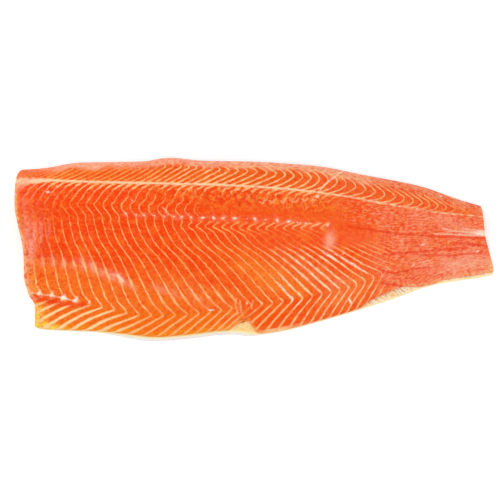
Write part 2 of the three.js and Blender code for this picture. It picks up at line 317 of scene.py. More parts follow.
# %% Which line passes through a point
def flake_station(x, y):
    """The station found in each of the four rows, then the one of the row that the point is in."""
    bone, turn, seam = bone_line(x), lower_turn(x), back_seam(x)
    down_flank, up_loin, up_strip = row_shares(x, y)
    flank_t = np.clip(down_flank, 0, 1.15)
    hook = lambda s: hook_size(s) * hook_shape(flank_t / mix(0.055, 0.085, step(-50, 10, s)))
    there = x - flank_nudge(x) * flank_t**2.5 - flick_size(x) * flick_shape(flank_t)
    flank = settle(lambda s: there - flank_lean(s) * flank_bow(flank_t) + hook(s), x - 30.0, 24)
    belly_t = np.clip((turn - y) / (turn - belly_edge(x)), -0.15, 1.2)
    bow = lambda a: 1 + mix(0.1, 0.3, step(-20, 40, a)) * (1 - belly_t)
    there = x - belly_nudge(x)
    fold = settle(
        lambda a: there + belly_slope(a) * belly_t * bow(a) * (lower_turn(a) - belly_edge(a)), there
    )
    belly = settle(lambda s: fold - flank_lean(s), fold - 50.0)
    low = (flank + belly + np.hypot(flank - belly, corner(x))) / 2
    tailward = lambda s: step(-165, -95, s)
    loin_t = np.clip(up_loin, 0, 1)
    loin = settle(lambda s: x - mix(loin_head(loin_t), loin_tail(loin_t), tailward(s)), x + 0.0)
    strip_t = up_strip * mix(1, 1.6, step(80, 175, x))
    head, centre, tail = strip_head(strip_t), strip_middle(strip_t), strip_tail(strip_t)
    bulge = strip_bulge(strip_t)
    middle = lambda s: centre + bulge * (1 - step(-60, -10, s))
    row = lambda s: mix(mix(head, middle(s), step(-85, -50, s)), tail, step(-20, 35, s))
    fan = lambda s: (1 + 0.22 * hump(s, -15, 34)) * (1 - 0.4 * step(50, 165, s))
    strip = settle(lambda s: x - row(s) * fan(s) - strip_wander(s), x - 30.0, 20)
    return np.where(y > seam, strip, np.where(y > bone, loin, low))


def flake_phase(x, y):
    """The station, less its drift, counted in flakes: each whole number is a line of fat."""
    station = flake_station(x, y)
    return (station - drift(station)) / FLAKE


print("flakes along the bone line:", flake_phase(np.array([240.0, -240.0]), np.array([20.0, 23.0])))

# %% [markdown]
# ## Soft randomness
# Flesh is never flat. Noise textures could push the points about, but a sum of sine waves in random
# directions is quick, smooth and the same on every run, since its directions come from a seed.


# %% Ripples, spots and strokes
def ripple(x, y, size, seed, waves=12):
    """The sum of sine waves of about one wavelength, each in its own direction, divided by the root
    of half their number, so that its spread is about 1."""
    draw = np.random.default_rng(seed)
    turn = draw.uniform(0, 2 * np.pi, waves)
    start = draw.uniform(0, 2 * np.pi, waves)
    pace = 2 * np.pi / (size * draw.uniform(0.7, 1.4, waves))
    total = 0
    for a, b, c in zip(turn, start, pace):
        total = total + np.sin(c * (x * np.cos(a) + y * np.sin(a)) + b)
    return total / np.sqrt(waves / 2)


def spot(x, y, middle, half_size, angle=0.0):
    """A bell in two directions, turned by an angle in degrees."""
    a = np.radians(angle)
    u = (x - middle[0]) * np.cos(a) + (y - middle[1]) * np.sin(a)
    v = (y - middle[1]) * np.cos(a) - (x - middle[0]) * np.sin(a)
    return np.exp(-((u / half_size[0]) ** 2) - (v / half_size[1]) ** 2)


def stroke(x, y, path, half_width):
    """A bell round a broken line: the distance to the nearest point of its nearest piece."""
    nearest = np.full(np.shape(x), 1e9)
    for (x0, y0), (x1, y1) in zip(path[:-1], path[1:]):
        run, rise = x1 - x0, y1 - y0
        t = np.clip(((x - x0) * run + (y - y0) * rise) / (run * run + rise * rise), 0, 1)
        nearest = np.minimum(nearest, np.hypot(x - x0 - t * run, y - y0 - t * rise))
    return np.exp(-((nearest / half_width) ** 2))


print("ripple over a few places:", ripple(np.arange(4) * 10.0, np.zeros(4), 20, 1).round(2))

# %% [markdown]
# ## One closed skin of faces
# A body with two sheets, a top and an underside, is closed by a wall all round. The top is seen, so it
# has many points. The underside is hidden or plain, so it keeps only every few columns, and a row of
# many-sided faces along each long edge takes up the points of the wall.


# %% A closed body from two sheets
def new_piece(name, points, faces):
    """A smooth mesh of points in millimetres, as an object in the scene."""
    mesh = bpy.data.meshes.new(name)
    mesh.from_pydata((points * MM).tolist(), [], faces)
    mesh.polygons.foreach_set("use_smooth", np.ones(len(mesh.polygons), bool))
    piece = bpy.data.objects.new(name, mesh)
    bpy.context.collection.objects.link(piece)
    return piece


def closed_body(name, top, under, walls, keep, out=0.0):
    """Joins two grids of points of the same size. The wall runs in rings from the rim of the top to
    the rim of the underside, and swells outwards by a sine over its height. Flat texture places are
    worked out with the faces: the top above, the wall as a strip, the underside below."""
    nu, nv = top.shape[0] - 1, top.shape[1] - 1
    rim = 2 * (nu + nv)
    i = np.concatenate([np.arange(nu), np.full(nv, nu), np.arange(nu, 0, -1), np.zeros(nv, int)])
    j = np.concatenate([np.zeros(nu, int), np.arange(nv), np.full(nu, nv), np.arange(nv, 0, -1)])
    share = (np.arange(1, walls + 1) / walls)[:, None, None]
    rings = mix(top[i, j][None], under[i, j][None], share)
    ahead, behind = np.roll(top[i, j], -1, 0), np.roll(top[i, j], 1, 0)
    run = (ahead - behind)[:, :2]
    normal = np.stack([run[:, 1], -run[:, 0]], -1) / (np.linalg.norm(run, axis=1)[:, None] + 1e-9)
    rings[:, :, :2] += out * np.sin(np.pi * share) * normal[None]
    columns = nu // keep
    inner = under[keep:-1:keep, 1:-1][: columns - 1]
    points = np.concatenate([top.reshape(-1, 3), rings.reshape(-1, 3), inner.reshape(-1, 3)])

    top_id = np.arange((nu + 1) * (nv + 1)).reshape(nu + 1, nv + 1)
    ring_id = top_id.size + np.arange(walls * rim).reshape(walls, rim)
    ring_id = np.concatenate([top_id[i, j][None], ring_id])
    last = ring_id[-1]
    under_id = np.zeros((columns + 1, nv + 1), int)
    under_id[1:-1, 1:-1] = top_id.size + walls * rim + np.arange(inner.size // 3).reshape(
        columns - 1, nv - 1
    )
    under_id[:, 0] = last[np.arange(columns + 1) * keep]
    under_id[:, -1] = last[nu + nv + nu - np.arange(columns + 1) * keep]
    under_id[-1, :] = last[nu + np.arange(nv + 1)]
    under_id[0, :] = last[(2 * nu + nv + nv - np.arange(nv + 1)) % rim]

    a, b = top_id[:-1, :-1], top_id[1:, :-1]
    c, d = top_id[1:, 1:], top_id[:-1, 1:]
    top_faces = np.stack([a, b, c, d], -1).reshape(-1, 4)
    nxt = np.roll(ring_id, -1, 1)
    wall_faces = np.stack([ring_id[1:], nxt[1:], nxt[:-1], ring_id[:-1]], -1).reshape(-1, 4)
    a, b = under_id[:-1, 1:-2], under_id[:-1, 2:-1]
    c, d = under_id[1:, 2:-1], under_id[1:, 1:-2]
    under_faces = np.stack([a, b, c, d], -1).reshape(-1, 4)
    many = []
    for k in range(columns):
        low = last[np.arange(k * keep, (k + 1) * keep + 1)]
        many.append([*low[::-1], under_id[k, 1], under_id[k + 1, 1]])
        high = last[nu + nv + nu - np.arange(k * keep, (k + 1) * keep + 1)]
        many.append([*high, under_id[k + 1, -2], under_id[k, -2]])

    quads = np.concatenate([top_faces, wall_faces, under_faces])
    piece = new_piece(name, points, quads.tolist() + many)
    mesh = piece.data

    flat = (points[:, :2] - points[:, :2].min(0)) / np.ptp(points[:, :2], axis=0)
    top_uv = flat[top_faces] * (0.99, 0.55) + (0.005, 0.44)
    place = np.arange(rim)
    left, right = place / rim, (place + 1) / rim
    level = np.linspace(1, 0, walls + 1)
    wall_uv = np.zeros((walls, rim, 4, 2))
    wall_uv[:, :, (0, 3), 0] = left[None, :, None]
    wall_uv[:, :, (1, 2), 0] = right[None, :, None]
    wall_uv[:, :, (0, 1), 1] = level[1:, None, None]
    wall_uv[:, :, (2, 3), 1] = level[:-1, None, None]
    wall_uv = wall_uv * (0.99, 0.05) + (0.005, 0.37)
    rest = np.concatenate([under_faces.ravel(), np.concatenate([np.array(f) for f in many])])
    under_uv = flat[rest] * (0.99, 0.34) + (0.005, 0.01)
    uv = np.concatenate([top_uv.reshape(-1, 2), wall_uv.reshape(-1, 2), under_uv])
    mesh.uv_layers.new(name="OFBake").data.foreach_set("uv", uv.ravel())
    mesh.validate()
    print(name, "has", len(points), "points and", len(mesh.polygons), "faces")
    return piece, points


def set_values(piece, **fields):
    """Stores one number, or one colour, for each point of a piece under a name."""
    for name, values in fields.items():
        is_colour = values.ndim == 2
        kind = "FLOAT_COLOR" if is_colour else "FLOAT"
        layer = piece.data.attributes.new(name, kind, "POINT")
        if is_colour:
            values = np.concatenate([values, np.ones((len(values), 1))], 1)
        layer.data.foreach_set("color" if is_colour else "value", values.astype(np.float32).ravel())


# %% [markdown]
# ## The relief of the cut face
# A knife leaves the flesh nearly flat. What shows is fine: each flake swells a little between its lines
# of fat, the torn notch has a crack above it, and the ends of the pin bones stand up in a row.

# %% Marks on the flesh: bones, fat and tears
# place along the fillet in mm, size, angle in degrees
BONES = [
    (-134, 0.4, 0), (-123, 0.6, -40), (-115, 0.7, 0), (-104, 0.55, -20), (-94, 0.6, -50),
    (-84, 0.8, -30), (-76, 0.9, 20), (-66, 0.8, -45), (-54, 1.0, 5), (-43, 1.15, -48),
    (-33, 1.0, 15), (-21, 1.3, 0), (-8, 0.4, 40), (0, 1.2, -42), (11, 0.6, 0), (23, 1.15, -60),
    (35, 1.3, 10), (44, 0.6, -30), (53, 0.85, -25), (65, 0.6, 10), (76, 0.8, 60),
]
bone_row = curve([[-134, 31], [-84, 28.5], [-33, 27], [0, 26.5], [23, 25], [53, 22.5], [76, 21]])
# middle, half length and half width in mm, angle in degrees, strength
PALE_SPOTS = [
    [(-224, -49), (3.6, 1.6), 65, 0.9],
    [(-211, -51), (3.6, 1.5), 70, 0.9],
    [(-199, -54), (4.2, 1.7), 62, 1.0],
    [(-198, -54), (3.4, 1.4), -15, 0.9],
    [(-186, -56), (4.0, 1.8), 50, 1.0],
    [(-172, -59), (3.0, 1.3), 60, 0.7],
    [(-141, -33), (3.6, 1.5), -58, 0.9],
    [(-137, -37), (3.4, 1.6), -50, 0.8],
    [(-215, 54), (2.6, 1.3), 0, 0.9],
    [(-128, 45), (1.8, 1.1), -30, 0.8],
    [(-134, 32), (3.4, 0.9), -50, 0.6],
    [(-94, 36), (4.0, 1.0), -42, 0.8],
    [(-91, 31), (3.0, 0.9), -50, 0.7],
    [(-45, -67), (3.6, 0.9), 8, 1.1],
    [(65, 50), (2.4, 1.9), 20, 1.0],
    # painted highlight: the pale core of the sheen spot at 78 mm along
    [(78, 6), (1.4, 3.4), -8, 0.4],
    [(92, -8), (2.2, 0.9), 40, 0.9],
    [(112, -7), (1.5, 0.9), 40, 0.6],
    [(99, -57), (1.1, 3.3), 25, 1.6],
    [(176, 2), (2.0, 0.9), 10, 1.2],
    [(166, -19), (2.2, 1.0), 55, 0.8],
    [(176, -17), (2.4, 0.9), 60, 0.55],
    [(137, -25), (2.6, 0.9), 50, 0.6],
    [(150, -21), (2.4, 0.8), 50, 0.4],
    [(233, -5), (2.8, 1.4), 35, 1.1],
    [(-8.5, -60), (1.6, 2.2), 0, 0.75],
    [(-9, -67), (0.7, 3), -10, 0.4],
    [(196, 54), (2.2, 1.4), 0, 0.8],
    [(222, 18), (9, 1.7), -10, 0.6],
    [(238, 15), (8, 2.8), -8, 0.9],
]
# soft pinkish patches where a trace of the lining was left, and one painted highlight
VEILS_AND_HIGHLIGHT = [
    [(-221, -18), (2.5, 5), -5, 0.45],
    [(-210, -17), (3, 6), 5, 0.65],
    [(-199, -19), (3, 5), -5, 0.65],
    [(-189, -20), (3, 5), -8, 0.5],
    [(-179, -19), (3.2, 6), 10, 0.8],
    [(-168, -23), (3.8, 6), 25, 0.85],
    [(-158, -29), (5, 4), -20, 0.8],
    [(-148, -32), (6, 4.5), -20, 0.9],
    [(-139, -36), (3.5, 6), 32, 0.9],
    [(-128, -42), (6, 3), -40, 0.6],
    [(-98, -46), (8, 3), -25, 0.45],
    [(-84, -50), (6, 2.5), -35, 0.4],
    [(-60, -54), (8, 2.5), -30, 0.3],
    [(-237, 15), (3.6, 16), 4, 0.8],
    [(-233, -6), (4.5, 14), -2, 0.8],
    [(-229, 12), (2.2, 14), 3, 0.7],
    [(-222, 14), (2.0, 12), 3, 0.55],
    [(-214, 16), (2.0, 9), 3, 0.35],
    [(-240, 44), (3, 6), 0, 0.3],
    [(-237, -22), (2.5, 7), -6, 0.3],
    # painted highlight: a soft pink spot of sheen on the smooth flesh
    [(78, 5), (5, 8), -10, 0.9],
    [(86, -38), (9, 4), 20, 0.3],
    [(200, 26), (30, 6), -10, 0.35],
    [(214, -14), (26, 7), 14, 0.4],
]
DARK_SPOTS = [
    [(-144, -36), (1.8, 1.2), 60, 0.8],
    [(10, -15), (2.6, 1.0), -30, 1.0],
    [(70, 47), (4, 1.8), -10, 0.7],
    [(1, 53), (2.4, 1.2), -40, 0.7],
    [(-20, 51), (2.4, 1.0), -40, 0.6],
    [(-212, 34), (1.6, 1.2), 0, 0.6],
    [(105, 12), (12, 5), -20, 0.35],
]
# thin red lines where the muscle parts lengthways near the tail
RED_LINES = [
    [(96, 20), (125, 16), (150, 13), (194, 10.5), (243, 8.5)],
    [(133, -9), (165, -6), (194, -3), (222, -1)],
    [(205, 3.5), (220, 3), (243, 1)],
    [(128, -24), (146, -28), (162, -24), (182, -21)],
    [(132, -38), (146, -40), (160, -43)],
    [(176, -9), (205, -9), (238, -6)],
]
# the strip of red flesh under the first few bends of the lower turn
DARK_BAND = [(-230, -53.5), (-213, -57), (-196, -60), (-180, -62)]
# the fold that runs on from the notch
CRACK = [(-15, -77), (-9, -75.5), (-2, -71)]
# the pale line along the tops of the bends of the strip
ENVELOPE = [(-20, 83), (15, 83), (42, 82), (60, 80), (76, 77), (92, 74), (115, 70), (148, 64),
            (173, 56), (210, 41), (224, 36)]
# short pale ends of broken lines, under the seam and above the notch
TICKS = [
    [(15, 45), (18, 43), (22, 47)], [(27, 44.5), (29, 43), (32, 48)], [(37, 46), (39.5, 43.5)],
    [(42, 44), (46, 48)], [(49.5, 47), (51, 44.5), (55, 48)], [(60, 46), (63.5, 47)],
    [(5, 44), (8, 42), (10.5, 46)],
    [(-19.5, -55), (-20.5, -61), (-18, -69)], [(-15.5, -57), (-15, -65), (-13, -72)],
    [(-24, -74), (-17, -70)], [(-2, -57), (-3.5, -65)],
]
# raised strands of fat along the middle of the tail
STRANDS = [
    [(196, 19), (206, 16.5), (219, 15), (244, 12.5)],
    [(188, 13), (212, 12.5), (243, 11)],
]


def add_up(x, y, spots):
    """The sum of a list of spots, each with its own size, angle and strength."""
    return sum(force * spot(x, y, at, size, angle) for at, size, angle, force in spots)


def draw_lines(x, y, lines, half_width):
    """The sum of a list of broken lines of one width."""
    return sum(stroke(x, y, path, half_width) for path in lines)


def bone_spots(x, y, half_length, half_width):
    """A bell at each bone end, larger for a thicker bone."""
    size = (half_length, half_width)
    return add_up(x, y, [[(at, bone_row(at)), size, angle, force] for at, force, angle in BONES])


print(len(BONES), "pin bones,", len(PALE_SPOTS), "pale and", len(DARK_SPOTS), "dark spots")


# %% Relief in millimetres
PILLOW_MEAN = 0.76


def fat_share(x, y):
    """How strongly the lines of fat show, from row to row and from head to tail."""
    seam, turn = back_seam(x), lower_turn(x)
    flank_t, loin_t, strip_t = (np.clip(share, 0, 1) for share in row_shares(x, y))
    thin_patch = 0.8 * step(-25, 15, x) * step(0.07, 0.11, flank_t)
    smooth_patch = mix(thin_patch, 1, step(72, 86, x)) * (1 - step(0.26, 0.42, flank_t))
    flank = 0.85 * (1 - 0.55 * step(-190, -222, x) * step(0.75, 0.4, flank_t))
    flank = flank * (1 - smooth_patch) * (1 - step(112, 165, x))
    no_turn = band(x, -115, -90, -15, 5)
    flank = flank * (1 - 0.45 * hump(flank_t, 0.97, 0.07) * no_turn)
    flank = flank * (1 - 0.8 * spot(x, y, (-14, -60), (9, 7)))
    flank = flank * (1 - 0.5 * spot(x, y, (-52, -62), (15, 4.5)))
    belly = (1 - step(120, 150, x)) * (1 - 0.95 * stroke(x, y, DARK_BAND, 3.6))
    belly = belly * (1 - 0.06 * no_turn) * (1 - 0.85 * spot(x, y, (-13, -67), (11, 9)))
    belly = belly * (1 - 0.85 * spot(x, y, (-230, -74), (8, 13)))
    loin = mix(0.75, 0.6, step(-60, 20, x)) + 0.25 * step(0.7, 0.95, loin_t)
    loin = loin * (1 - 0.85 * step(-65, -54, x) * step(0.75, 0.6, loin_t))
    loin = loin * (1 - 0.8 * step(-40, 0, x) * step(0.56, 0.44, loin_t))
    loin = loin * mix(0.25 + 0.75 * step(0.3, 0.75, loin_t), 1, step(-215, -150, x))
    loin = loin * (1 - step(60, 105, x))
    strip = mix(0.9, 0.7, step(110, 160, x)) * step(-243, -205, x) * (1 - 0.9 * step(185, 232, x))
    rim_fade = step(mix(0.62, 0.5, step(40, 130, x)), mix(0.84, 0.95, step(0, 60, x)), strip_t)
    strip = strip * (1 - rim_fade)
    low = mix(flank, belly, step(-1, 1, turn - y))
    return np.where(y > seam, strip, np.where(y > bone_line(x), loin, low))


def flesh_relief(x, y, phase):
    """Low hills, a swelling between the lines of fat, bone ends, raised fat and the fibres near the
    tail, less the dark spots, the red lines and the crack."""
    pillow = np.sqrt(np.abs(np.sin(np.pi * phase))) - PILLOW_MEAN
    hills = 0.35 * ripple(x, y, 48, 3) + 0.16 * ripple(x, y, 15, 4) + 0.07 * ripple(x, y, 5, 5)
    crack = stroke(x, y, CRACK, 1.3)
    bones = 0.4 * bone_spots(x, y, 2.2, 1.5)
    raised = 0.25 * np.minimum(add_up(x, y, PALE_SPOTS), 1.2) + 0.3 * draw_lines(x, y, STRANDS, 1.2)
    sunk = 0.5 * add_up(x, y, DARK_SPOTS) + 0.12 * draw_lines(x, y, RED_LINES, 1.5)
    fibres = 0.14 * ripple(x * 0.2, y, 4.5, 6) * step(110, 160, x)
    flakes = 0.42 * pillow * fat_share(x, y)
    return flakes + hills + bones + raised + fibres - sunk - 0.6 * crack


# %% [markdown]
# ## The flesh
# The solid from the frame has the right form with few faces. The visible flesh follows the same
# outline and heights with half a thousand columns, closer together near the edges, where it rounds
# over. It replaces the solid.


# %% The flesh as a closed body
def packed(count, pull):
    """Shares from 0 to 1 that crowd towards both ends: t less a sine of the full turn."""
    t = np.linspace(0, 1, count + 1)
    return t - pull * np.sin(2 * np.pi * t) / (2 * np.pi)


def rounding(distance, radius):
    """The drop of a quarter circle: the whole of it at the edge, nothing a radius further in."""
    t = 1 - np.clip(distance / radius, 0, 1)
    return 1 - np.sqrt(1 - t * t)


FLESH_COLUMNS, FLESH_ROWS = 504, 148
BELLY_ROUND, BACK_ROUND, CUT_ROUND = 3.0, 4.0, 1.6
a, b = np.meshgrid(packed(FLESH_COLUMNS, 0.3), packed(FLESH_ROWS, 0.4), indexing="ij")
x, y = inside_outline(a, b, flesh_edge)
phase = flake_phase(x, y)
low = under_height(x, y) + SKIN + FLESH_GAP
high = top_height(x, y) + flesh_relief(x, y, phase)
thick = np.maximum(high - low, 0.8)
torn = hump(x, -17, 13)
belly_drop = np.minimum(2.2 + 4 * torn, (0.7 + 0.2 * torn) * thick)
belly_drop = belly_drop * rounding(y - flesh_edge(x), BELLY_ROUND + 4.5 * torn)
back_drop = np.minimum(3.0, 0.6 * thick) * rounding(back_edge(x) - y, BACK_ROUND)
cut_drop = np.minimum(1.2, 0.4 * thick) * (
    rounding(x - head_cut(y), CUT_ROUND) + rounding(tail_cut(y) - x, CUT_ROUND)
)
high = low + np.maximum(thick - belly_drop - back_drop - cut_drop, 0.4)
top, under = np.stack([x, y, high], -1), np.stack([x, y, low], -1)
flesh, flesh_points = closed_body("salmon_flesh", top, under, walls=6, keep=8, out=0.3)
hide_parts("flesh")
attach(flesh, "root")

# %% [markdown]
# ## Where each colour goes
# Salmon is not one orange. The core is hot orange-red, the belly and the trimmed flank are lighter and
# more amber, the rim under the skin is dusty pink, and the tail is pink and streaky. Each tone is laid
# over the last one with a soft mask, and the result is stored on the points for the material to read.


# %% Tones of the flesh
def tone(red, green, blue):
    """A colour given as 0 to 255 on a screen, turned into light: the sRGB curve."""
    c = np.array([red, green, blue]) / 255
    return np.where(c <= 0.04045, c / 12.92, ((c + 0.055) / 1.055) ** 2.4)


def lay(under, colour, mask):
    """Lays a colour over others, as strongly as the mask says."""
    return mix(under, colour, np.clip(mask, 0, 1)[:, None])


def on_cut(x, y, depth):
    """1 on the faces of the two end cuts, below their rim."""
    return step(0.6, 2.5, depth) * step(2.5, 1, np.minimum(x - head_cut(y), tail_cut(y) - x))


def lay_all(tint, layers):
    """Lays one colour after another, each as strongly as its own mask says."""
    for colour, mask in layers:
        tint = lay(tint, tone(*colour), mask)
    return tint


def flesh_tones(x, y, depth):
    """The ground colour between the lines of fat."""
    seam, turn = back_seam(x), lower_turn(x)
    from_edge, from_cut = y - flesh_edge(x), x - head_cut(y)
    in_belly, in_strip = step(-2, 2, turn - y), step(0, 3, y - seam)
    tail, soft = step(105, 165, x), ripple(x, y, 30, 11)
    tint = lay_all(np.tile(tone(247, 71, 3), (len(x), 1)), [
        ((248, 92, 28), step(-60, 60, x) * step(0.4, 0.62, width_share(x, y))),
        ((248, 106, 24), step(6, 22, turn + 34 - y) * step(40, -30, x) * 0.9),
        ((251, 134, 44), spot(x, y, (20, -36), (52, 17), -24) * 0.95),
        ((248, 114, 26), trimmed(x, y) * 0.9),
        ((248, 120, 38), spot(x, y, (-72, -46), (52, 15), -18) * 0.8),
        ((246, 114, 16), in_belly * step(0, -60, x)),
        ((244, 86, 12), in_belly * step(-20, 20, x)),
        ((250, 128, 62), spot(x, y, (98, -44), (34, 13), 38)),
        ((250, 124, 60), spot(x, y, (62, -28), (46, 14), -26) * 0.6),
        ((252, 146, 18), step(8, 1, from_edge) * step(20, -30, x) * 0.85),
        ((246, 90, 38), 0.8 * step(-205, -238, x) * step(-32, -5, y) * step(54, 40, y)),
        ((239, 94, 14), in_strip * step(120, 40, x)),
        ((244, 97, 42), in_strip * step(20, 90, x)),
        ((250, 98, 46), spot(x, y, (108, 7), (22, 9), -14) * 1.3),
        ((248, 118, 68), tail * (y < seam)),
        ((250, 134, 94), tail * (0.45 + 0.4 * soft) * (y < seam)),
        ((246, 98, 46), step(140, 180, x) * (y > seam)),
    ])
    rim = step(13, 4, back_edge(x) - y + 2.0 * ripple(x, y, 25, 12)) * step(-260, -180, x)
    pale_rim = mix(tone(250, 180, 146), tone(250, 184, 146), step(-60, 0, x)[:, None])
    pale_rim = mix(pale_rim, tone(249, 154, 110), step(80, 150, x)[:, None])
    tint = lay(tint, pale_rim, rim * (1 - 0.1 * tail))
    yellow = spot(x, y, (-231, -73), (10, 15)) + spot(x, y, (-220, -85), (18, 5), -8)
    scallop = 5.5 + 3 * ripple(x * 0.1, y, 11, 14, 5)
    scallop = step(0, 2.5, scallop - from_cut) * step(-58, -50, y) * step(-2, -12, y)
    return lay_all(tint, [
        ((253, 156, 66), step(5, 1, from_edge) * hump(x, -20, 10)),
        ((255, 206, 150), step(3.4, 1.6, from_edge) * hump(x, 22, 20)),
        ((252, 190, 140), step(5, 1, from_edge) * step(138, 165, x) * 0.8),
        ((253, 172, 138), spot(x, y, (222, -20), (30, 7), 12) * 0.95),
        ((240, 204, 130), spot(x, y, (248, -23), (3.2, 7)) * 1.2),
        # painted highlight: a soft pink spot of sheen at 78 mm along
        ((251, 156, 124), spot(x, y, (78, 5), (4.5, 8), -10) * 0.9),
        ((255, 221, 80), 1.5 * yellow),
        ((249, 148, 62), step(16, 7, from_cut) * step(-6, -18, y) * step(-60, -54, y)),
        ((242, 132, 52), step(8, 4, from_cut) * step(60, 46, y) * step(-8, 4, y) * 0.8),
        ((252, 188, 136), step(4.0, 1.2, from_cut) * step(64, 56, y) * step(-62, -56, y)),
        ((238, 62, 4), stroke(x, y, DARK_BAND, 4.2)),
        ((253, 186, 140), 0.75 * scallop),
        ((252, 214, 182), 1.2 * step(14, 2, from_cut) * hump(y, seam - 2, 6)),
        ((245, 96, 34), 0.9 * on_cut(x, y, depth)),
    ])


px, py, pz = flesh_points.T
depth = np.maximum(top_height(px, py) - pz - 1.0, 0)
tint = flesh_tones(px, py, depth)
print("mean tone of the flesh, as light:", tint.mean(0).round(3))

# %% [markdown]
# The lines of fat need more than a colour: how wide they are, how white, and where they dissolve into
# blotches. The rate says how many flakes pass in a millimetre, so that the material can turn its
# distance in flakes into millimetres and give a line the same width whatever way it runs.


# %% Fat lines, blotches and streaks
CUT_SLANT = 1.2
seam_half_width = curve(
    [[-250, 4.5], [-228, 3.4], [-208, 1.3], [-20, 1.15], [40, 1.1], [80, 0.9], [130, 1.6],
     [165, 1.5], [185, 1.0]]
)
seam_shift = curve([[-250, -1.2], [-215, 1], [50, 1.1], [90, 0.7]])


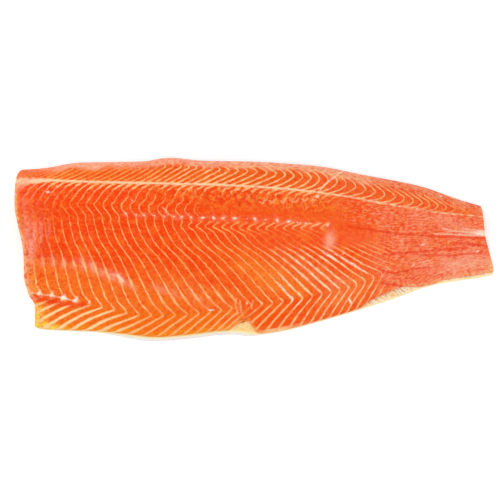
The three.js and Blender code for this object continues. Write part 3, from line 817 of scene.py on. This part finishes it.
def fat_fields(x, y, depth):
    """Numbers for the material at each point. On a cut wall the lines slant with the depth."""
    bone, seam, turn = bone_line(x), back_seam(x), lower_turn(x)
    small = 0.25
    here = flake_phase(x, y)
    rate = np.hypot(
        flake_phase(x + small, y) - flake_phase(x - small, y),
        flake_phase(x, y + small) - flake_phase(x, y - small),
    ) / (2 * small)
    belly_t = np.clip((turn - y) / (turn - belly_edge(x)), 0, 1)
    flank_t, loin_t, _ = (np.clip(share, 0, 1) for share in row_shares(x, y))
    thick = stroke(x, y, [(27, -37), (36, -49), (42, -57)], 4.5)
    thick = thick + 0.9 * stroke(x, y, [(74, -9), (97, -17), (114, -24)], 4.5)
    thick = np.clip(thick + 0.5 * spot(x, y, (58, -28), (38, 15), -35), 0, 1)
    wide = 1.0 + 0.35 * flank_t + 1.5 * thick + 0.3 * band(x, 20, 50, 75, 110)
    wide = wide * (1 - 0.3 * step(90, 125, x)) + 0.35 * hump(flank_t, 0.05, 0.05) * step(-60, -10, x)
    wide = wide + 0.9 * hump(flank_t, 0.86, 0.08) * band(x, -125, -90, -25, -5)
    wide = wide + 1.9 * hump(y, trim_line(x), 3.5) * band(x, -245, -225, -150, -110)
    tailward = step(20, 90, x)
    at_edge = mix(3.4, mix(2.1, 1.7, tailward), step(-170, -100, x))
    wide = np.where(y < turn, mix(mix(1.5, 1.0, tailward), at_edge, belly_t), wide)
    tips = hump(loin_t, 0.6, 0.07) * band(x, -25, 5, 60, 80)
    wide = np.where(y > bone, 1.15 + 1.1 * step(10, 0, seam - y) + 0.9 * tips, wide)
    in_strip = mix(1.2, 1.45, band(x, -120, -60, 60, 110)) - 0.25 * step(110, 160, x)
    in_strip = in_strip + 0.7 * step(7, 1, y - seam) * (1 - step(20, 60, x))
    wide = np.where(y > seam, in_strip, wide)
    pale_belly = mix(0.75, 0.12, step(-175, -100, x))
    cream = 0.25 + pale_belly * step(0, 6, turn - y) + 0.8 * thick + 0.6 * tips
    cream = cream + (y > seam) * mix(-0.2, 0.45, step(-150, -40, x))
    cream = cream + 0.2 * step(10, 60, x) * (y < bone)
    cream = cream + 0.5 * step(0.6, 1, flank_t) * (y > turn)
    cream = cream + 0.4 * hump(y, trim_line(x), 5) * (x < -60)
    cream = cream + 0.35 * step(14, 0, seam - y) * (y < seam)
    fat_tone = lay_all(np.tile(tone(255, 156, 76), (len(x), 1)), [
        ((255, 216, 156), cream),
        ((255, 230, 204), 0.85 * thick),
        ((250, 150, 110), step(-200, -232, x) * (y < seam) * (y > -20)),
    ])
    in_loin = (y < seam) * step(-6, 2, y - bone)
    curled = step(20, -10, x) * hump(y, seam - 8, 6)
    messy = band(x, -95, -30, 62, 110) * in_loin
    messy = messy * hump(y, seam - 12, mix(11, 8, step(-20, 20, x)))
    messy = np.maximum(messy, 0.9 * step(-125, -90, x) * curled * in_loin)
    ticks = draw_lines(x, y, TICKS, 0.9)
    ticks = ticks + (0.65 - 0.25 * step(70, 130, x)) * stroke(x, y, ENVELOPE, 1)
    pale = np.minimum(add_up(x, y, PALE_SPOTS) + 0.7 * bone_spots(x, y, 2.5, 1.5), 1.4)
    pale = pale + 0.6 * draw_lines(x, y, STRANDS, 1.2)
    pale = pale + 0.7 * stroke(x, y, [(66, 55), (74, 64), (93, 81)], 1.1)
    pale = pale + 0.6 * stroke(x, y, [(-232, -49), (-211, -52), (-199, -55), (-184, -58)], 1.1)
    dark = add_up(x, y, DARK_SPOTS) + stroke(x, y, CRACK, 1.1) + draw_lines(x, y, RED_LINES, 1.5)
    seam_gap = np.abs(y - seam - seam_shift(x)) / seam_half_width(x)
    share = width_share(x, y)
    slant = 0.5 * (1 - step(0, 0.6, share))
    fibre_row = mix(y - (x - 160) * slant, y - back_edge(x), step(0.8, 0.9, share))
    rim = step(15, 8, back_edge(x) - y) * step(-170, -110, x)
    upper = step(18, 26, y)
    streaky = step(mix(108, 70, upper), mix(150, 125, upper), x) * step(-2, 2, seam - y)
    streaky = streaky + 0.9 * rim + 0.6 * spot(x, y, (-62, -50), (24, 9), -20)
    grain = 0.75 + 0.6 * step(-185, -230, x) + 0.5 * messy + 0.5 * step(110, 160, x)
    grain = grain - 0.5 * spot(x, y, (108, 7), (22, 9), -14) - 0.25 * (y < turn)
    # less grain under the painted highlight at 78 mm along
    grain = grain - 0.6 * spot(x, y, (78, 5), (6, 10), -10)
    curly = spot(x, y, (-226, 14), (22, 26)) + 0.7 * spot(x, y, (-236, -22), (8, 20))
    curly = curly + 0.6 * spot(x, y, (-14, -66), (14, 9)) + 0.5 * messy
    curly = np.clip(curly + 0.25 * step(120, 170, x), 0, 1)
    wobble = 1 + 1.6 * in_loin * step(0, 6, seam - y) * step(0.3, 0.6, loin_t) - 0.4 * (y < turn)
    return {
        "flake_phase": here + CUT_SLANT * depth / FLAKE,
        "flake_rate": np.clip(rate, 0.03, 0.45),
        "fat_share": mix(fat_share(x, y), 0.75, on_cut(x, y, depth)),
        "fat_width": wide,
        "fat_tone": fat_tone,
        "messy": messy,
        "ticks": ticks,
        "pale": pale,
        "dark": np.minimum(dark, 1.2),
        "seam_gap": np.clip(seam_gap, 0, 9),
        "seam_share": 1 - 0.85 * step(75, 130, x) - 0.45 * step(-230, -244, x),
        "streaky": np.clip(streaky, 0, 1),
        "fibre_row": fibre_row * MM,
        "fan": step(150, 195, x) * spot(y, y, (-16, -16), (13, 99)),
        # traces of lining and a pale halo round the bones, with one painted highlight at 78 mm along
        "veil_and_highlight": np.clip(add_up(x, y, VEILS_AND_HIGHLIGHT) + 0.5 * bone_spots(x, y, 4.0, 2.4), 0, 1),
        "grain": grain,
        "curly": curly,
        "wobble": wobble,
        "whole": 0.95 * step(2, 8, turn - y) * step(60, 20, x),
    }


set_values(flesh, tint=tint, **fat_fields(px, py, depth))
print("values stored on the flesh:", [a.name for a in flesh.data.attributes][:6], "...")

# %% [markdown]
# ## Materials as short lists of steps
# A material is a graph of nodes. Built by hand it takes many lines, so a few small helpers each add
# nodes, join their inputs and hand back an output. The graph then reads like a recipe.


# %% Helpers for material graphs
class Recipe:
    """A new material with its shader, and helpers that add one node each."""

    def __init__(self, name):
        self.material = bpy.data.materials.new(name)
        self.material.use_nodes = True
        self.nodes = self.material.node_tree.nodes
        self.links = self.material.node_tree.links
        self.shader = self.nodes["Principled BSDF"]
        self.place = self.nodes.new("ShaderNodeTexCoord").outputs["Object"]

    def plug(self, socket, value):
        """Joins an output to a socket, or sets a constant on it."""
        if isinstance(value, bpy.types.NodeSocket):
            self.links.new(value, socket)
        elif value is not None:
            socket.default_value = value

    def add(self, kind, inputs=(), **settings):
        """A node with its settings and its inputs, each an output or a constant."""
        node = self.nodes.new(kind)
        for name, value in settings.items():
            setattr(node, name, value)
        for key, value in dict(inputs).items():
            self.plug(node.inputs[key], value)
        return node

    def sum(self, operation, a, b=None, c=None):
        """One step of arithmetic. MULTIPLY_ADD gives a times b, plus c."""
        inputs = {k: v for k, v in enumerate((a, b, c)) if v is not None}
        return self.add("ShaderNodeMath", inputs, operation=operation).outputs[0]

    def times(self, first, *others):
        """The product of two or more values."""
        for other in others:
            first = self.sum("MULTIPLY", first, other)
        return first

    def ridge(self, value, middle=0.5):
        """The distance from a middle value: a noise passes through its middle along thin curves."""
        return self.sum("ABSOLUTE", self.sum("SUBTRACT", value, middle))

    def stir(self, value, noise, amount):
        """A value moved both ways by a noise, whose middle is a half."""
        return self.sum("MULTIPLY_ADD", self.sum("SUBTRACT", noise, 0.5), amount, value)

    def span(self, value, low, high, to_low=0.0, to_high=1.0):
        """The smooth step from low to high, between two other numbers if given."""
        inputs = {"Value": value, "From Min": low, "From Max": high}
        inputs.update({"To Min": to_low, "To Max": to_high})
        node = self.add("ShaderNodeMapRange", inputs, interpolation_type="SMOOTHSTEP")
        return node.outputs["Result"]

    def blend(self, share, a, b):
        """The colour a share of the way from a to b."""
        node = self.add("ShaderNodeMix", data_type="RGBA")
        for socket, value in zip((0, 6, 7), (share, a, b)):
            self.plug(node.inputs[socket], value)
        return node.outputs[2]

    def coats(self, ground, layers):
        """Lays colours over the ground, each as strongly as its mask times a share."""
        for mask, share, colour in layers:
            over = paint(*colour) if isinstance(colour, tuple) else colour
            ground = self.blend(self.times(mask, share), ground, over)
        return ground

    def blend_number(self, share, a, b):
        """The number a share of the way from a to b."""
        node = self.add("ShaderNodeMix", data_type="FLOAT")
        for socket, value in zip((0, 2, 3), (share, a, b)):
            self.plug(node.inputs[socket], value)
        return node.outputs[0]

    def stored(self, name, colour=False):
        """A number, or a colour, that was stored on the points."""
        node = self.add("ShaderNodeAttribute", attribute_name=name)
        return node.outputs["Color" if colour else "Fac"]

    def noise(self, size, detail=2.0, vector=None, stretch=(1, 1, 1), roughness=0.55):
        """Noise whose spots are about `size` millimetres across, stretched along an axis."""
        scale = tuple(1 / (size * MM * s) for s in stretch)
        moved = self.moved(vector or self.place, Scale=scale)
        inputs = {"Vector": moved, "Scale": 1.0, "Detail": detail, "Roughness": roughness}
        return self.add("ShaderNodeTexNoise", inputs).outputs["Fac"]

    def moved(self, vector, **inputs):
        """Places that are scaled or turned before a pattern reads them."""
        return self.add("ShaderNodeMapping", {"Vector": vector, **inputs}).outputs[0]

    def dress(self, piece, values):
        """Sets inputs of the shader by name and gives the material to a piece."""
        for name, value in values.items():
            self.plug(self.shader.inputs[name], value)
        piece.data.materials.append(self.material)


def paint(red, green, blue):
    """A screen colour as the four numbers that a colour socket takes."""
    return (*tone(red, green, blue), 1.0)


# %% [markdown]
# ## Wet flesh
# Raw flesh lets light in and scatters it, and a film of water on top gives it gloss. The lines of fat
# come from the stored phase: its distance from the nearest whole number, divided by the rate, is the
# distance in millimetres. Noise bends and breaks the lines, so that none looks ruled.

# %% The flesh material
wet = Recipe("wet_salmon_flesh")
coarse, middle, fine = wet.noise(11, 2), wet.noise(4.2, 3), wet.noise(1.5, 3)
along_x = wet.add("ShaderNodeSeparateXYZ", {0: wet.place}).outputs[0]
row_inputs = {"X": along_x, "Y": wet.stored("fibre_row")}
row = wet.add("ShaderNodeCombineXYZ", row_inputs).outputs[0]
fibres = wet.noise(2.2, 2, row, (4, 1, 1))
streaks = wet.noise(1.8, 2, row, (2.8, 1, 1), 0.6)

messy, grain, streaky = wet.stored("messy"), wet.stored("grain"), wet.stored("streaky")
bend = wet.stir(wet.stored("flake_phase"), fine, 0.06)
bend = wet.stir(bend, middle, wet.times(wet.stored("wobble"), 0.28))
bend = wet.stir(bend, wet.noise(7, 2), wet.times(messy, 1.7))
off_line = wet.ridge(wet.sum("FRACT", wet.sum("ADD", bend, 0.5)))
gap = wet.sum("DIVIDE", off_line, wet.stored("flake_rate"))
half = wet.times(wet.stored("fat_width"), wet.span(coarse, 0.3, 0.7, 0.46, 0.66))
on_line = wet.span(gap, wet.times(half, 0.35), wet.sum("MULTIPLY_ADD", half, 1.25, 0.25), 1.0, 0.0)
broken = wet.span(wet.noise(6, 2), 0.35, 0.58, 0.5, 1.1)
more_broken = wet.span(wet.noise(3.2, 2), 0.42, 0.56, 0.0, 1.3)
kept = wet.sum("MAXIMUM", wet.blend_number(messy, broken, more_broken), wet.stored("whole"))
line = wet.times(on_line, wet.stored("fat_share"), kept)

# %% [markdown]
# The ground between the lines is laid in coats: specks, wrinkles, blotches, curls, streaks, veils and
# one painted highlight, each a noise that is cut off at some level and kept to its own part of the
# fillet.

# %% Coats of the ground
clumps = wet.span(wet.noise(9, 1), 0.45, 0.6)
wrinkle = wet.span(wet.ridge(wet.noise(5.0, 2, stretch=(1.6, 1, 1)), 0.52), 0.0, 0.03, 1.0, 0.0)
squiggle = wet.span(wet.ridge(wet.noise(6.5, 1)), 0.0, 0.055, 1.0, 0.0)
curl = wet.span(wet.ridge(wet.noise(5.5, 1, stretch=(0.8, 1.2, 1))), 0.02, 0.1, 1.0, 0.0)
curl_clumps = wet.span(wet.noise(7, 1), 0.44, 0.56)
hairline = wet.span(wet.noise(1.8, 1, row, (8, 1, 1)), 0.53, 0.66)
veil_and_highlight = wet.span(wet.noise(3.6, 2), 0.38, 0.6, 0.4, 1.1)
ground = wet.coats(wet.stored("tint", colour=True), [
    (wet.span(middle, 0.45, 0.7), 0.4, (238, 56, 2)),
    (wet.span(coarse, 0.5, 0.72), 0.36, (255, 130, 32)),
    (wet.span(fibres, 0.5, 0.68), 0.22, (255, 146, 64)),
    (wet.times(wet.span(wet.noise(2.9, 1), 0.52, 0.7), grain), 0.4, (255, 144, 56)),
    (wet.times(wet.span(wet.noise(3.2, 1), 0.5, 0.7), grain), 0.5, (234, 46, 2)),
    (wet.times(wrinkle, clumps, grain), 0.45, (222, 40, 4)),
    (wet.times(wet.span(wet.noise(4.6, 2), 0.5, 0.62), messy), 0.6, (252, 150, 44)),
    (wet.times(wet.span(wet.noise(5.2, 2), 0.53, 0.66), messy), 0.6, (236, 48, 4)),
    (wet.times(squiggle, clumps, messy), 0.45, (255, 178, 106)),
    (wet.times(wet.span(streaks, 0.5, 0.64), streaky), 0.5, (255, 178, 142)),
    (wet.times(wet.span(streaks, 0.5, 0.38), streaky), 0.5, (238, 56, 14)),
    (wet.times(hairline, wet.stored("fan")), 0.6, (255, 206, 172)),
    # pinkish veils of lining, and one painted highlight at 78 mm along
    (wet.times(wet.stored("veil_and_highlight"), veil_and_highlight), 0.85, (253, 176, 148)),
    (wet.times(curl, curl_clumps, wet.stored("curly")), 0.55, (216, 50, 18)),
    (wet.span(wet.stir(wet.stored("ticks"), fine, 1.2), 0.1, 0.9), 0.6, (255, 192, 130)),
])

# %% [markdown]
# Over the ground come the lines of fat, the seam, the flecks of fat with the bone ends, and the dark
# spots, all with ragged edges.

# %% Lines, seam and spots
seam = wet.sum("MAXIMUM", wet.stored("seam_share"), wet.span(wet.noise(4.0, 2), 0.4, 0.62, 0.0, 0.85))
seam = wet.times(wet.span(wet.stir(wet.stored("seam_gap"), middle, 1.8), 0.3, 1.3, 1.0, 0.0), seam)
pale = wet.stir(wet.stored("pale"), fine, 0.9)
white = wet.blend(wet.span(pale, 1.0, 1.5), paint(255, 222, 196), paint(255, 248, 240))
dark = wet.span(wet.stir(wet.stored("dark"), middle, 1.2), 0.2, 0.95)
colour = wet.coats(wet.blend(line, ground, wet.stored("fat_tone", colour=True)), [
    (seam, 0.85, (255, 218, 174)),
    (wet.span(pale, 0.15, 0.95), 0.92, white),
    (dark, 0.6, (234, 50, 16)),
])

height = wet.sum("MULTIPLY_ADD", fine, 0.35, wet.times(fibres, 0.35))
height = wet.sum("MULTIPLY_ADD", line, 0.25, wet.sum("MULTIPLY_ADD", middle, 0.5, height))
bump = wet.add("ShaderNodeBump", {"Strength": 0.5, "Distance": 0.0005, "Height": height})
wet.dress(flesh, {
    "Base Color": colour,
    "Normal": bump.outputs["Normal"],
    "Roughness": wet.span(fine, 0.3, 0.7, 0.34, 0.5),
    "IOR": 1.37,
    "Specular IOR Level": 0.1,
    "Subsurface Weight": 0.15,
    "Subsurface Radius": (1.0, 0.3, 0.12),
    "Subsurface Scale": 0.0015,
    "Coat Weight": 0.03,
    "Coat Roughness": 0.2,
})
print("steps in the flesh material:", len(wet.nodes))

# %% [markdown]
# ## The skin
# The skin is a thin sheet under the whole fillet. Its inner side shows along the belly, in the notch
# and in the bare strip before the tail, cream with a brownish grain. From near the head to the notch
# a thin pale margin of it stands out from the belly edge, its outer rim greyed as painted shadow. Its
# outer side is silver at the belly and dark with spots at the back, with rows of scales and the lateral
# line.

# %% The skin as a closed body
MARGIN, MARGIN_DROP = 3.1, 0.5


def skin_edge(x):
    """The belly edge, less a thin pale margin of skin that stands out from it up to the notch."""
    return belly_edge(x) - MARGIN * step(-175, -120, x) * step(12, -12, x)


SKIN_COLUMNS, SKIN_ROWS = 300, 96
a, b = np.meshgrid(
    packed(SKIN_COLUMNS, 0.3), np.linspace(0, 1, SKIN_ROWS + 1) ** 1.7, indexing="ij"
)
x, y = inside_outline(a, b, skin_edge)
low = under_height(x, y)
bare = step(-0.4, 1.2, flesh_edge(x) - y)
grain = 0.35 * ripple(x, y, 5, 21) + 0.25 * ripple(x + y, 3 * (y - x), 9, 22)
high = low + SKIN + bare * np.clip(0.25 + 0.5 * grain, 0, 0.9) * step(0, 1.5, y - belly_edge(x))
high = high - MARGIN_DROP * step(0.2, 1.2, belly_edge(x) - y)
top, under = np.stack([x, y, high], -1), np.stack([x, y, low], -1)
skin, skin_points = closed_body("salmon_skin", top, under, walls=2, keep=4, out=0.15)
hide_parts("skin")
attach(skin, "root")

px, py, pz = skin_points.T
lateral = bone_line(px) + 4
set_values(
    skin,
    outer=step(0.9, 0.3, pz - under_height(px, py)),
    back_share=width_share(px, py),
    line_gap=(py - lateral) * MM,
    lip_gap=(py - belly_edge(px)) * MM,
    margin=step(0.3, 0.9, belly_edge(px) - py),
    # painted shadow: a greyish band along the outermost millimetre of the margin, standing for the
    # shade under its edge
    hem=step(1.5, 0.9, py - skin_edge(px)) * step(0.3, 0.9, belly_edge(px) - py),
    notch=spot(px, py, (-7, -84), (26, 16)),
)

# %% [markdown]
# One material serves both sides of the skin: a stored value says which side a point is on. The scales
# are cells of a Voronoi pattern with little randomness, a little longer along the fish than across
# it, so that they sit in rows.

# %% The skin material
hide = Recipe("salmon_skin")
outer = hide.stored("outer")
share = hide.stored("back_share")
fine, coarse = hide.noise(2.4, 2), hide.noise(7, 3)
grain = hide.noise(1.5, 2, hide.moved(hide.place, Rotation=(0, 0, 0.6)), (4, 1, 1))
in_notch = hide.blend(hide.span(fine, 0.4, 0.62), paint(255, 226, 164), paint(252, 206, 112))
cream = hide.blend(hide.span(coarse, 0.35, 0.7), paint(255, 238, 212), paint(255, 226, 190))
cream = hide.coats(cream, [
    (hide.span(grain, 0.48, 0.6), 0.85, (216, 158, 78)),
    (hide.span(hide.noise(9, 2), 0.5, 0.66), 0.6, (244, 196, 104)),
    (hide.stored("notch"), 1.0, in_notch),
    (hide.span(hide.stored("lip_gap"), 0.0006, 0.0022, 1.0, 0.0), 1.0, (255, 234, 168)),
    (hide.stored("margin"), 1.0, (255, 250, 232)),
    # painted shadow: greyish band at the outer edge of the margin
    (hide.stored("hem"), 1.0, (250, 240, 234)),
])

squeezed = hide.moved(hide.place, Scale=(240.0, 300.0, 1.0))
cells = {"Vector": squeezed, "Scale": 1.0, "Randomness": 0.35}
scales = hide.add("ShaderNodeTexVoronoi", cells).outputs["Distance"]
cells = {"Vector": hide.place, "Scale": 52.0, "Randomness": 1.0}
spots = hide.add("ShaderNodeTexVoronoi", cells).outputs["Distance"]
spots = hide.span(hide.sum("ADD", spots, hide.times(fine, 0.1)), 0.17, 0.24, 1.0, 0.0)
lateral_gap = hide.sum("ABSOLUTE", hide.stored("line_gap"))
silver = hide.blend(hide.span(share, 0.25, 0.62), paint(226, 224, 220), paint(158, 164, 168))
silver = hide.coats(silver, [
    (hide.span(share, 0.6, 0.82), 1.0, (72, 80, 84)),
    (hide.span(scales, 0.3, 0.75), 0.4, (60, 64, 68)),
    (hide.span(coarse, 0.4, 0.7), 0.25, (238, 232, 222)),
    (hide.times(spots, hide.span(share, 0.5, 0.62)), 1.0, (30, 32, 34)),
    (hide.span(lateral_gap, 0.0004, 0.0011, 1.0, 0.0), 0.6, (48, 50, 52)),
])

height = hide.times(hide.span(scales, 0.2, 0.7, 1.0, 0.0), outer)
inner_height = hide.times(grain, hide.sum("SUBTRACT", 1.0, outer))
height = hide.sum("ADD", height, hide.times(inner_height, 1.5))
bump = hide.add("ShaderNodeBump", {"Strength": 0.6, "Distance": 0.0004, "Height": height})
hide.dress(skin, {
    "Base Color": hide.blend(outer, cream, silver),
    "Normal": bump.outputs["Normal"],
    "Roughness": hide.span(outer, 0.0, 1.0, 0.5, 0.3),
    "Metallic": hide.times(outer, 0.35),
    "IOR": 1.4,
    "Subsurface Weight": 0.1,
    "Subsurface Radius": (1.0, 0.6, 0.4),
    "Subsurface Scale": 0.001,
    "Coat Weight": 0.3,
    "Coat Roughness": 0.2,
})
print("steps in the skin material:", len(hide.nodes))

# %% [markdown]
# ## Pin-bone ends
# A row of fine bones was cut with the side, and their ends stand out white above the middle. Each is a
# small lens that tapers to a point, half sunk in the flesh. All of them make one piece.


# %% Bone ends
def bone_ends():
    """For each bone, a sphere of angles: its length and width shrink with the cosine of the latitude,
    its height follows the sine, and it narrows towards one end."""
    turn, rise = np.meshgrid(
        np.linspace(0, 2 * np.pi, 12, endpoint=False), np.linspace(-1.5, 1.5, 7), indexing="ij"
    )
    draw = np.random.default_rng(7)
    points, faces = [], []
    for at, size, angle in BONES:
        long, wide = 1.6 * size * draw.uniform(0.8, 1.2), 0.85 * size * draw.uniform(0.8, 1.2)
        lean = np.radians(angle)
        u = long * np.cos(turn) * np.cos(rise)
        v = wide * np.sin(turn) * np.cos(rise) * (1 - 0.35 * np.cos(turn))
        x = at + u * np.cos(lean) - v * np.sin(lean)
        y = bone_row(at) + u * np.sin(lean) + v * np.cos(lean)
        centre = np.full(1, float(at)), np.full(1, float(bone_row(at)))
        ground = top_height(*centre) + flesh_relief(*centre, flake_phase(*centre))
        z = ground + 0.45 * size * np.sin(rise)
        start = len(points) * turn.size
        points.append(np.stack([x, y, z], -1).reshape(-1, 3))
        ids = start + np.arange(turn.size).reshape(turn.shape)
        nxt = np.roll(ids, -1, 0)
        quads = np.stack([ids[:, :-1], nxt[:, :-1], nxt[:, 1:], ids[:, 1:]], -1).reshape(-1, 4)
        faces += quads.tolist() + [ids[:, -1].tolist(), ids[::-1, 0].tolist()]
    return np.concatenate(points), faces


points, faces = bone_ends()
bones = new_piece("bone_ends", points, faces)
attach(bones, "root")

bone = Recipe("bone_white")
bone.dress(bones, {
    "Base Color": bone.blend(bone.noise(0.8, 2), paint(255, 232, 216), paint(254, 200, 168)),
    "Roughness": 0.4,
    "Subsurface Weight": 0.3,
    "Subsurface Scale": 0.0015,
})
print("bone ends:", len(BONES), "with", len(faces), "faces")

# %% [markdown]
# ## Floor, light and camera
# The fillet lies on a plain white table. Gloss shows what is above it, so the sky stays dim and two
# wide soft lamps stand to the sides: the flesh then keeps its full colour, with only a low sheen.

# %% Floor
FLOOR_SIDE, FLOOR_DROP = 8000.0, 0.4
square = np.array([(-1, -1), (1, -1), (1, 1), (-1, 1)]) * FLOOR_SIDE / 2
floor = new_piece("floor", np.column_stack([square, np.full(4, -FLOOR_DROP)]), [(0, 1, 2, 3)])
table = Recipe("white_table")
table.dress(floor, {
    "Base Color": (0.97, 0.97, 0.97, 1),
    "Roughness": 0.8,
    "Emission Color": (1, 1, 1, 1),
    "Emission Strength": 0.2,
})

# %% Light
SKY = 0.65
world = bpy.data.worlds.new("soft_sky")
world.use_nodes = True
world.node_tree.nodes["Background"].inputs["Color"].default_value = (1, 1, 1, 1)
world.node_tree.nodes["Background"].inputs["Strength"].default_value = SKY
bpy.context.scene.world = world
LAMPS = {
    "key": ((-0.9, 0.5, 1.1), 1.3, 9.0),
    "fill": ((1.0, -0.7, 0.9), 1.4, 6.0),
}
for name, (place, size, power) in LAMPS.items():
    lamp = bpy.data.lights.new(name, "AREA")
    lamp.energy, lamp.size = power, size
    holder = bpy.data.objects.new(name, lamp)
    holder.location = place
    holder.rotation_euler = (-Vector(place)).to_track_quat("-Z", "Y").to_euler()
    bpy.context.collection.objects.link(holder)

# %% Camera
ELEVATION, LENS, DISTANCE = 80.0, 85.0, 1.2323
aim = Vector((-5.19, -4.18, 12.0)) * MM
lift = np.radians(ELEVATION)
towards = Vector((0.0, -float(np.cos(lift)), float(np.sin(lift))))
eye = bpy.data.cameras.new("camera")
eye.lens, eye.sensor_width = LENS, 36.0
camera = bpy.data.objects.new("camera", eye)
camera.location = aim + towards * DISTANCE
camera.rotation_euler = (-towards).to_track_quat("-Z", "Y").to_euler()
bpy.context.collection.objects.link(camera)
bpy.context.scene.camera = camera
bpy.context.scene.view_settings.view_transform = "Standard"
